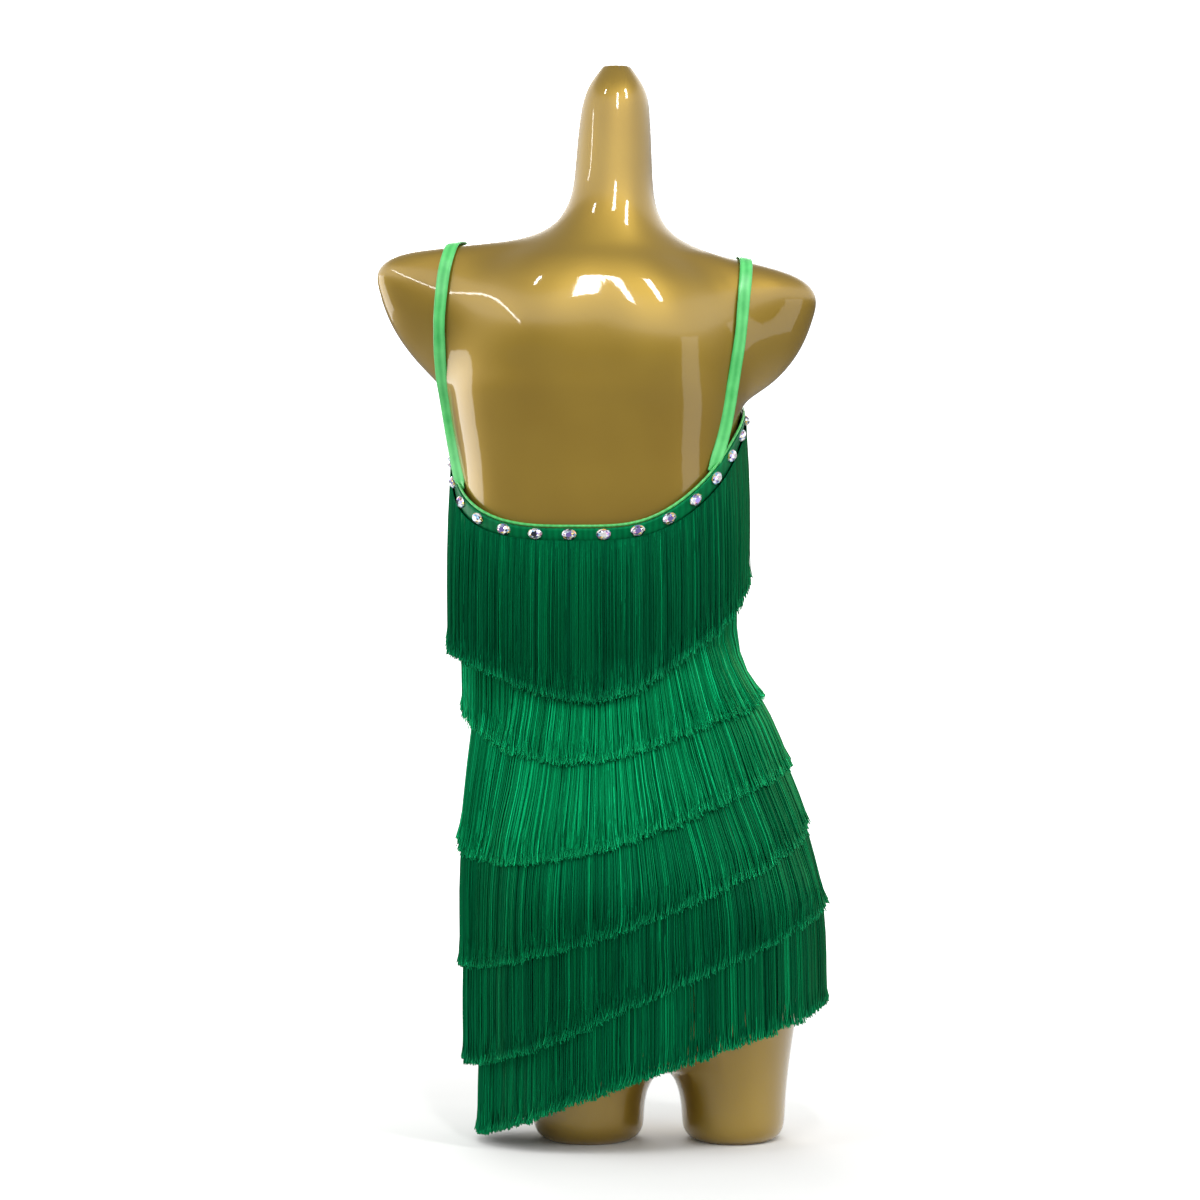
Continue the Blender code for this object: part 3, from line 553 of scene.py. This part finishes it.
def fringeTree():
    tree, given = groupTree("chainetteFringe", [
        ("Strands", "Int", 2400), ("Points", "Int", 9), ("Girth", "Float", 0.75), ("Width", "Float", 0.0015),
        ("Depth", "Float", 0.004), ("Fine Clump", "Float", 0.004), ("Wide Clump", "Float", 0.02),
        ("Gather", "Float", 0.45), ("Sway", "Float", 0.003), ("Hook", "Float", 0.003), ("Settle", "Float", 0.002),
        ("Uneven", "Float", 0.02), ("Paleness", "Float", 0.1), ("Seed", "Int", 1), ("Material", "Material", None)])
    get = given.outputs
    maths, vectors, noise = "ShaderNodeMath", "ShaderNodeVectorMath", "ShaderNodeTexNoise"

    single = addNode(tree, "GeometryNodeCurvePrimitiveLine", {"End": (0.0, 0.0, 1.0)})
    single = addNode(tree, "GeometryNodeResampleCurve", {"Curve": single, "Count": get["Points"]})
    many = addNode(tree, "GeometryNodeDuplicateElements", {"Geometry": single, "Amount": get["Strands"]},
                   domain="SPLINE")
    number = many.outputs["Duplicate Index"]
    along = addNode(tree, "GeometryNodeSplineParameter").outputs["Factor"]

    draw = {}
    for name, (low, high, step) in strandDraws.items():
        seed = addNode(tree, "FunctionNodeIntegerMath", (get["Seed"], step), operation="ADD")
        draw[name] = addNode(tree, "FunctionNodeRandomValue", {"Min": low, "Max": high, "ID": number, "Seed": seed},
                             data_type="FLOAT").outputs[1]

    # more points near the tip, where the strands curl
    left = addNode(tree, maths, (1.0, along), operation="SUBTRACT")
    left = addNode(tree, maths, (left, 1.9), operation="POWER")
    fall = addNode(tree, maths, (1.0, left), operation="SUBTRACT")
    start = addNode(tree, maths, (number, draw["jitter"]), operation="ADD")
    start = addNode(tree, maths, (start, get["Strands"]), operation="DIVIDE")
    start = addNode(tree, maths, (start, 1.0), operation="ADD")
    start = addNode(tree, maths, (start,), operation="FRACT")

    # strands draw together towards the middle of fine and of wide clumps
    drawn, clumpDraws = start, []
    for label, power, share, step in (("Fine Clump", 1.3, 1.0, 10), ("Wide Clump", 2.2, 0.55, 20)):
        clumps = addNode(tree, maths, (get["Girth"], get[label]), operation="DIVIDE")
        clumps = addNode(tree, maths, (clumps,), operation="FLOOR")
        wavy = addNode(tree, maths, (clumps, 0.6), operation="MULTIPLY")
        wavy = addNode(tree, maths, (start, wavy), operation="MULTIPLY")
        wander = addNode(tree, noise, {"W": wavy, "Scale": 1.0, "Detail": 1.0}, noise_dimensions="1D")
        cell = addNode(tree, maths, (start, clumps), operation="MULTIPLY")
        cell = addNode(tree, maths, (cell, wander), operation="ADD")
        cell = addNode(tree, maths, (cell,), operation="FLOOR")
        cellKey = addNode(tree, "FunctionNodeFloatToInt", (cell,), rounding_mode="ROUND")
        own = []
        for low, high in ((0.25, 0.75), (0.3, 1.5), (-1.0, 1.0), (0.0, 1.0)):  # middle, pull, tip, tint
            seed = addNode(tree, "FunctionNodeIntegerMath", (get["Seed"], step + len(own)), operation="ADD")
            own.append(addNode(tree, "FunctionNodeRandomValue",
                               {"Min": low, "Max": high, "ID": cellKey, "Seed": seed}, data_type="FLOAT").outputs[1])
        middle = addNode(tree, maths, (cell, own[0]), operation="ADD")
        middle = addNode(tree, maths, (middle, wander), operation="SUBTRACT")
        middle = addNode(tree, maths, (middle, clumps), operation="DIVIDE")
        pull = addNode(tree, maths, (fall, power), operation="POWER")
        pull = addNode(tree, maths, (pull, get["Gather"]), operation="MULTIPLY")
        share = addNode(tree, maths, (own[1], share), operation="MULTIPLY")
        pull = addNode(tree, maths, (pull, share), operation="MULTIPLY")
        pulled = addNode(tree, maths, (middle, start), operation="SUBTRACT")
        pulled = addNode(tree, maths, (pulled, pull), operation="MULTIPLY")
        drawn = addNode(tree, maths, (drawn, pulled), operation="ADD")
        clumpDraws.append(own)

    # slow sideways sway that neighbours share, and a little of each strand's own
    waves = addNode(tree, maths, (get["Girth"], 0.022), operation="DIVIDE")
    waves = addNode(tree, maths, (start, waves), operation="MULTIPLY")
    drop = addNode(tree, maths, (fall, 1.3), operation="MULTIPLY")
    shared = addNode(tree, "ShaderNodeCombineXYZ", (waves, drop, get["Seed"]))
    shared = addNode(tree, noise, {"Vector": shared, "Scale": 1.0, "Detail": 2.0})
    apart = addNode(tree, maths, (number, 1.37), operation="MULTIPLY")
    drop = addNode(tree, maths, (fall, 2.6), operation="MULTIPLY")
    own = addNode(tree, "ShaderNodeCombineXYZ", (apart, drop, 9.0))
    own = addNode(tree, noise, {"Vector": own, "Scale": 1.0, "Detail": 0.0})
    shared = addNode(tree, maths, (shared, 0.5), operation="SUBTRACT")
    shared = addNode(tree, maths, (shared, 2.2), operation="MULTIPLY")
    own = addNode(tree, maths, (own, 0.5), operation="SUBTRACT")
    own = addNode(tree, maths, (own, 0.9), operation="MULTIPLY")
    swing = addNode(tree, maths, (shared, own), operation="ADD")
    swing = addNode(tree, maths, (swing, get["Sway"]), operation="MULTIPLY")
    grown = addNode(tree, maths, (fall, 0.8), operation="POWER")
    swing = addNode(tree, maths, (swing, grown), operation="MULTIPLY")

    # tips curl aside and outwards
    tipPart = addNode(tree, "ShaderNodeMapRange", {"Value": fall, "From Min": 0.86, "From Max": 1.0})
    tipPart = addNode(tree, maths, (tipPart, 1.3), operation="POWER")
    hooked = addNode(tree, maths, (tipPart, get["Hook"]), operation="MULTIPLY")
    curl = addNode(tree, maths, (hooked, draw["curl"]), operation="MULTIPLY")
    curlOut = addNode(tree, maths, (hooked, draw["curlOut"]), operation="MULTIPLY")

    # uneven ends, partly shared within a clump
    uneven = addNode(tree, maths, (draw["uneven"], 0.7), operation="MULTIPLY")
    for own, share in zip(clumpDraws, (0.45, 0.35)):
        part = addNode(tree, maths, (own[2], share), operation="MULTIPLY")
        uneven = addNode(tree, maths, (uneven, part), operation="ADD")
    length = addNode(tree, maths, (uneven, get["Uneven"]), operation="MULTIPLY")
    length = addNode(tree, maths, (1.0, length), operation="ADD")
    u = addNode(tree, maths, (drawn, 1.0), operation="ADD")
    u = addNode(tree, maths, (u,), operation="FRACT")
    v = addNode(tree, maths, (fall, length), operation="MULTIPLY")
    v = addNode(tree, maths, (v, 0.5), operation="MULTIPLY")

    # surface position, and the ways out of it and along it
    spot = addNode(tree, "ShaderNodeCombineXYZ", {"X": u, "Y": v})
    mapUv = addNode(tree, "GeometryNodeInputNamedAttribute", {"Name": "guideUv"}, data_type="FLOAT_VECTOR")
    where = addNode(tree, "GeometryNodeSampleUVSurface", {
        "Mesh": get["Guide"], "Value": addNode(tree, "GeometryNodeInputPosition"), "UV Map": mapUv,
        "Sample UV": spot}, data_type="FLOAT_VECTOR").outputs[0]
    outward = addNode(tree, vectors, (where, (1.0, 1.0, 0.0)), operation="MULTIPLY")
    outward = addNode(tree, vectors, (outward,), operation="NORMALIZE").outputs[0]
    aside = addNode(tree, vectors, ((0.0, 0.0, 1.0), outward), operation="CROSS_PRODUCT").outputs[0]

    # the strands lie at different depths below the heading, and the ends settle on the tier below
    opened = addNode(tree, maths, (1.0, fall), operation="SUBTRACT")
    opened = addNode(tree, maths, (opened, 4.0), operation="POWER")
    opened = addNode(tree, maths, (1.0, opened), operation="SUBTRACT")
    layer = addNode(tree, maths, (clumpDraws[0][2], 0.18), operation="MULTIPLY")
    layer = addNode(tree, maths, (draw["layer"], layer), operation="ADD")
    outBy = addNode(tree, maths, (layer, get["Depth"]), operation="MULTIPLY")
    outBy = addNode(tree, maths, (outBy, opened), operation="MULTIPLY")
    outBy = addNode(tree, maths, (outBy, curlOut), operation="ADD")
    settled = addNode(tree, maths, (fall, 2.5), operation="POWER")
    settled = addNode(tree, maths, (settled, get["Settle"]), operation="MULTIPLY")
    outBy = addNode(tree, maths, (outBy, settled), operation="SUBTRACT")
    asideBy = addNode(tree, maths, (swing, curl), operation="ADD")
    moved = addNode(tree, vectors, {0: outward, 3: outBy}, operation="SCALE").outputs[0]
    slid = addNode(tree, vectors, {0: aside, 3: asideBy}, operation="SCALE").outputs[0]
    place = addNode(tree, vectors, (where, moved), operation="ADD").outputs[0]
    place = addNode(tree, vectors, (place, slid), operation="ADD").outputs[0]

    # most strands sit in shade, and a few catch the light
    tint = addNode(tree, maths, (draw["tint"], 3.5), operation="POWER")
    tint = addNode(tree, maths, (tint, 0.55), operation="MULTIPLY")
    part = addNode(tree, maths, (clumpDraws[0][3], 0.12), operation="MULTIPLY")
    tint = addNode(tree, maths, (tint, part), operation="ADD")
    # painted light: the whole tier painted paler where it faces up to the lamps
    tint = addNode(tree, maths, (tint, get["Paleness"]), operation="ADD")
    hung = addNode(tree, "GeometryNodeStoreNamedAttribute", {"Geometry": many, "Name": "strandTint", "Value": tint})
    hung = addNode(tree, "GeometryNodeStoreNamedAttribute", {"Geometry": hung, "Name": "strandDrop", "Value": fall})
    hung = addNode(tree, "GeometryNodeSetPosition", {"Geometry": hung, "Position": place})
    thinner = addNode(tree, maths, (tipPart, 0.25), operation="MULTIPLY")
    thick = addNode(tree, maths, (draw["thick"], thinner), operation="SUBTRACT")
    radius = addNode(tree, maths, (get["Width"], 0.5), operation="MULTIPLY")
    ring = addNode(tree, "GeometryNodeCurvePrimitiveCircle", {"Resolution": 3, "Radius": radius})
    cords = addNode(tree, "GeometryNodeCurveToMesh", {"Curve": hung, "Profile Curve": ring, "Scale": thick,
                                                      "Fill Caps": True})
    cords = addNode(tree, "GeometryNodeSetShadeSmooth", {"Geometry": cords})
    closeTree(tree, cords, get["Material"])
    return tree


hangTree = fringeTree()
fringeTiers = []
for tier, strands in tierStrands.items():
    guide, girth = guideSheet(f"fringeTier{tier}", readWall(f"fringe_{tier}"))
    modifier = guide.modifiers.new("hang", "NODES")
    modifier.node_group = hangTree
    setInputs(modifier, {
        "Strands": strands, "Points": fringe["points"], "Girth": girth, "Width": tierWidth[tier],
        "Depth": fringe["depth"], "Fine Clump": fringe["fineClump"], "Wide Clump": fringe["wideClump"],
        "Gather": tierGather[tier], "Sway": fringe["sway"], "Hook": fringe["hook"],
        "Settle": tierSettle[tier], "Uneven": fringe["uneven"], "Paleness": tierPaintedLight[tier],
        "Seed": tier * 100, "Material": chainette})
    fringeTiers.append(bakeModifiers(guide))
    print("fringe tier", tier, "girth", round(girth, 3), len(guide.data.polygons), "faces")


stone = {"sides": 16, "rise": 0.0036, "girdle": 0.0012, "table": 0.46, "shoulder": 0.80}


def stoneTemplate():
    # half axes of 1 along X and Y, its base at z 0: girdle, two crown rows and the table
    shape = bmesh.new()
    sides = stone["sides"]
    rows = []
    for reach, height, count, turn in ((1.0, 0.0, sides, 0), (1.0, stone["girdle"], sides, 0),
                                       (stone["shoulder"], stone["rise"] * 0.68, sides // 2, 0.5),
                                       (stone["table"], stone["rise"], sides // 2, 0)):
        angles = [2 * math.pi * (i + turn) / count for i in range(count)]
        rows.append([shape.verts.new((reach * math.cos(a), reach * math.sin(a), height)) for a in angles])
    base, girdle, middle, table = rows
    shape.faces.new(list(reversed(base)))
    half = sides // 2
    for i in range(sides):
        shape.faces.new((base[i], base[(i + 1) % sides], girdle[(i + 1) % sides], girdle[i]))
    for i in range(half):
        a, b, c = girdle[2 * i], girdle[(2 * i + 1) % sides], girdle[(2 * i + 2) % sides]
        m, n = middle[i], middle[(i + 1) % half]
        shape.faces.new((a, b, m))
        shape.faces.new((b, c, m))
        shape.faces.new((c, n, m))
        shape.faces.new((middle[i], table[(i + 1) % half], table[i]))
        shape.faces.new((middle[i], middle[(i + 1) % half], table[(i + 1) % half]))
    shape.faces.new(table)
    bmesh.ops.recalc_face_normals(shape, faces=shape.faces)
    piece = newPiece("stoneTemplate", [], [], None)
    shape.to_mesh(piece.data)
    shape.free()
    rng = random.Random(5)
    values = [rng.random() for _ in piece.data.polygons]
    piece.data.attributes.new("facet", "FLOAT", "FACE").data.foreach_set("value", values)
    return piece


def stoneAxes(nodeName):
    # centre, and the long, wide and outward half axes of an oval CAD stone
    points = np.array([v.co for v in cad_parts[nodeName].data.vertices])
    points = np.unique(points.round(6), axis=0)
    centre = points.mean(axis=0)
    _, _, ways = np.linalg.svd(points - centre)
    out = ways[2] * (1 if np.dot(ways[2][:2], centre[:2]) > 0 else -1)
    reach = [np.ptp((points - centre) @ way) / 2 for way in ways[:2]]
    depth = np.ptp((points - centre) @ out)
    bottom = ((points - centre) @ out).min()
    return centre + out * bottom, ways[0], np.cross(out, ways[0]), out, reach, depth


stoneNames = sorted(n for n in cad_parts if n.startswith("crystal_"))
found = [stoneAxes(n) for n in stoneNames]
neckCrystals = newPiece("neckCrystals", [f[0] for f in found], [], foiledGlass)
for label, index in (("outward", 3), ("longWay", 1)):
    layer = neckCrystals.data.attributes.new(label, "FLOAT_VECTOR", "POINT")
    layer.data.foreach_set("vector", [float(c) for f in found for c in f[index]])
sizes = neckCrystals.data.attributes.new("stoneSize", "FLOAT_VECTOR", "POINT")
sizes.data.foreach_set("vector", [float(c) for f in found for c in (f[4][0], f[4][1], f[5] / stone["rise"])])

tree, given = groupTree("setStones", [("Stone", "Object", None), ("Seed", "Int", 3), ("Material", "Material", None)])
template = addNode(tree, "GeometryNodeObjectInfo", {"Object": given.outputs["Stone"]}).outputs["Geometry"]
axes = [addNode(tree, "GeometryNodeInputNamedAttribute", {"Name": label}, data_type="FLOAT_VECTOR").outputs[0]
        for label in ("outward", "longWay", "stoneSize")]
turn = addNode(tree, "FunctionNodeAxesToRotation", {"Primary Axis": axes[0], "Secondary Axis": axes[1]},
               primary_axis="Z", secondary_axis="X")
points = addNode(tree, "GeometryNodeMeshToPoints", {"Mesh": given.outputs["Guide"]})
placed = addNode(tree, "GeometryNodeInstanceOnPoints", {
    "Points": points, "Instance": template, "Rotation": turn, "Scale": axes[2]})
lot = addNode(tree, "FunctionNodeRandomValue", {"Min": 0.0, "Max": 1.0, "Seed": given.outputs["Seed"]},
              data_type="FLOAT").outputs[1]
placed = addNode(tree, "GeometryNodeStoreNamedAttribute", {"Geometry": placed, "Name": "lot", "Value": lot},
                 domain="INSTANCE")
real = addNode(tree, "GeometryNodeRealizeInstances", {"Geometry": placed})
facetValue = addNode(tree, "GeometryNodeInputNamedAttribute", {"Name": "facet"}, data_type="FLOAT").outputs[0]
lotValue = addNode(tree, "GeometryNodeInputNamedAttribute", {"Name": "lot"}, data_type="FLOAT").outputs[0]
mixed = addNode(tree, "ShaderNodeMath", {0: facetValue, 1: lotValue}, operation="ADD")
mixed = addNode(tree, "ShaderNodeMath", {0: mixed}, operation="FRACT")
cut = addNode(tree, "GeometryNodeStoreNamedAttribute", {"Geometry": real, "Name": "facetTint", "Value": mixed},
              domain="FACE")
closeTree(tree, cut, given.outputs["Material"])

oneStone = stoneTemplate()
modifier = neckCrystals.modifiers.new("set", "NODES")
modifier.node_group = tree
setInputs(modifier, {"Stone": oneStone, "Seed": 3, "Material": foiledGlass})
bakeModifiers(neckCrystals)
bpy.data.objects.remove(oneStone)
print("stones", len(found))


allFringe = [f"fringe_{k}" for k in range(1, 7)]
for piece, slot, nodes in (
        (torsoForm, "form", ["torso_form"]), (baseDress, "cloth", ["back_panel", "front_panel"]),
        (neckBand, "cloth", ["back_neckline_band", "front_neckline_band"]),
        (neckBinding, "binding", ["back_neckline_binding", "front_neckline_binding"]),
        (strapLeft, "strap", ["strap_left"]), (strapRight, "strap", ["strap_right"]),
        (neckCrystals, "crystal", stoneNames), *[(p, "fringe", [n]) for p, n in zip(fringeTiers, allFringe)]):
    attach(piece, "root")
    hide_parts(*nodes)

print("areas", round(shellArea(baseDress), 4), round(shellArea(neckBand), 4))


studio = {"distance": 3.2, "height": 0.467, "frameWidth": 1.044}

bpy.ops.mesh.primitive_circle_add(vertices=96, radius=9.0, fill_type="NGON", location=(0, 0, 0))
floor = bpy.context.object
floor.name = "studioFloor"
# matt white floor paint, that runs out into the white of the studio
paleFloor, tree, surface = newMaterial("mattWhiteFloor", **{"Roughness": 0.9})
place = addNode(tree, "ShaderNodeTexCoord").outputs["Object"]
speck = addNode(tree, "ShaderNodeTexNoise", {"Vector": place, "Scale": 3.0})
tone = addNode(tree, "ShaderNodeValToRGB", {"Fac": speck.outputs["Fac"]},
               stops=[(0.3, "#DEDEDD"), (0.7, "#E4E4E3")])
tree.links.new(tone.outputs[0], surface.inputs["Base Color"])
away = addNode(tree, "ShaderNodeVectorMath", {0: place}, operation="LENGTH").outputs["Value"]
fade = addNode(tree, "ShaderNodeMapRange", {"Value": away, "From Min": 0.45, "From Max": 1.5},
               interpolation_type="SMOOTHSTEP")
glow = addNode(tree, "ShaderNodeEmission", {"Color": (1, 1, 1, 1), "Strength": 1.6})
dim = addNode(tree, "ShaderNodeBsdfDiffuse", {"Color": (0.25, 0.25, 0.25, 1)})
rays = addNode(tree, "ShaderNodeLightPath")
outer = addNode(tree, "ShaderNodeMixShader", {0: rays.outputs["Is Camera Ray"], 1: dim, 2: glow})
joined = addNode(tree, "ShaderNodeMixShader", {0: fade, 1: surface, 2: outer})
tree.links.new(joined.outputs[0], next(n for n in tree.nodes if n.type == "OUTPUT_MATERIAL").inputs["Surface"])
floor.data.materials.append(paleFloor)
floor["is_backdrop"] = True

world = bpy.data.worlds.new("studioWorld")
bpy.context.scene.world = world
world.use_nodes = True
tree = world.node_tree
tree.nodes.clear()
seen = addNode(tree, "ShaderNodeBackground", {"Color": (1, 1, 1, 1), "Strength": 1.6})
way = addNode(tree, "ShaderNodeSeparateXYZ", {"Vector": addNode(tree, "ShaderNodeTexCoord").outputs["Generated"]})
# the room is dim below eye level and brightest a little above it
roomLight = addNode(tree, "ShaderNodeFloatCurve", {"Value": addNode(tree, "ShaderNodeMapRange", {
    "Value": way.outputs["Z"], "From Min": -1.0, "From Max": 1.0})})
roomLevels = ((0.40, 0.09), (0.50, 0.20), (0.56, 0.50), (0.60, 1.20), (0.66, 1.85), (0.76, 1.70), (0.88, 0.5))
for place, level in roomLevels:
    roomLight.mapping.curves[0].points.new(place, level)
ends = roomLight.mapping.curves[0].points
ends[0].location, ends[-1].location = (0.0, 0.08), (1.0, 0.36)
roomLight.mapping.update()
room = addNode(tree, "ShaderNodeBackground", {"Color": (1, 1, 1, 1), "Strength": roomLight})
rays = addNode(tree, "ShaderNodeLightPath")
mixed = addNode(tree, "ShaderNodeMixShader", {0: rays.outputs["Is Camera Ray"], 1: room, 2: seen})
addNode(tree, "ShaderNodeOutputWorld", {"Surface": mixed})


def softBox(name, place, target, size, power, roll=0.0):
    lamp = bpy.data.lights.new(name, "AREA")
    lamp.shape, lamp.size, lamp.size_y = "RECTANGLE", *size
    lamp.energy = power
    holder = bpy.data.objects.new(name, lamp)
    bpy.context.scene.collection.objects.link(holder)
    holder.location = place
    aim = (Vector(target) - Vector(place)).to_track_quat("-Z", "Y").to_matrix()
    holder.rotation_euler = (aim @ Matrix.Rotation(math.radians(roll), 3, "Z")).to_euler()
    return holder


middle = (0, 0, 0.65)
softBox("upperStripMiddle", (-0.20, 1.85, 2.28), middle, (0.14, 0.8), 15)
softBox("upperStripRight", (-0.99, 1.30, 2.43), middle, (0.20, 0.7), 18)
softBox("upperStripLeft", (0.90, 1.17, 2.58), middle, (0.12, 0.35), 5)
softBox("leftRim", (1.86, 1.12, 1.48), middle, (0.06, 1.4), 5, roll=57)
softBox("leftPanel", (2.30, -0.74, 0.6), middle, (1.5, 1.2), 20)
softBox("rightPanel", (-2.1, 1.1, 0.45), middle, (0.8, 1.3), 5)
softBox("frontFill", (0.3, -2.4, 1.5), middle, (1.4, 1.4), 30)

eye = bpy.data.cameras.new("studioCamera")
eye.sensor_width = 36
eye.lens = 36 * studio["distance"] / studio["frameWidth"]
camera = bpy.data.objects.new("studioCamera", eye)
bpy.context.scene.collection.objects.link(camera)
camera.location = (0, studio["distance"], studio["height"])
camera.rotation_euler = (math.pi / 2, 0, math.pi)
bpy.context.scene.camera = camera
bpy.context.scene.view_settings.view_transform = "Standard"  # plain sRGB, so that dyed cloth keeps its depth
print("stage set")

total = sum(sum(len(p.vertices) - 2 for p in o.data.polygons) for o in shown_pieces() if o.type == "MESH")
print("triangles", total)
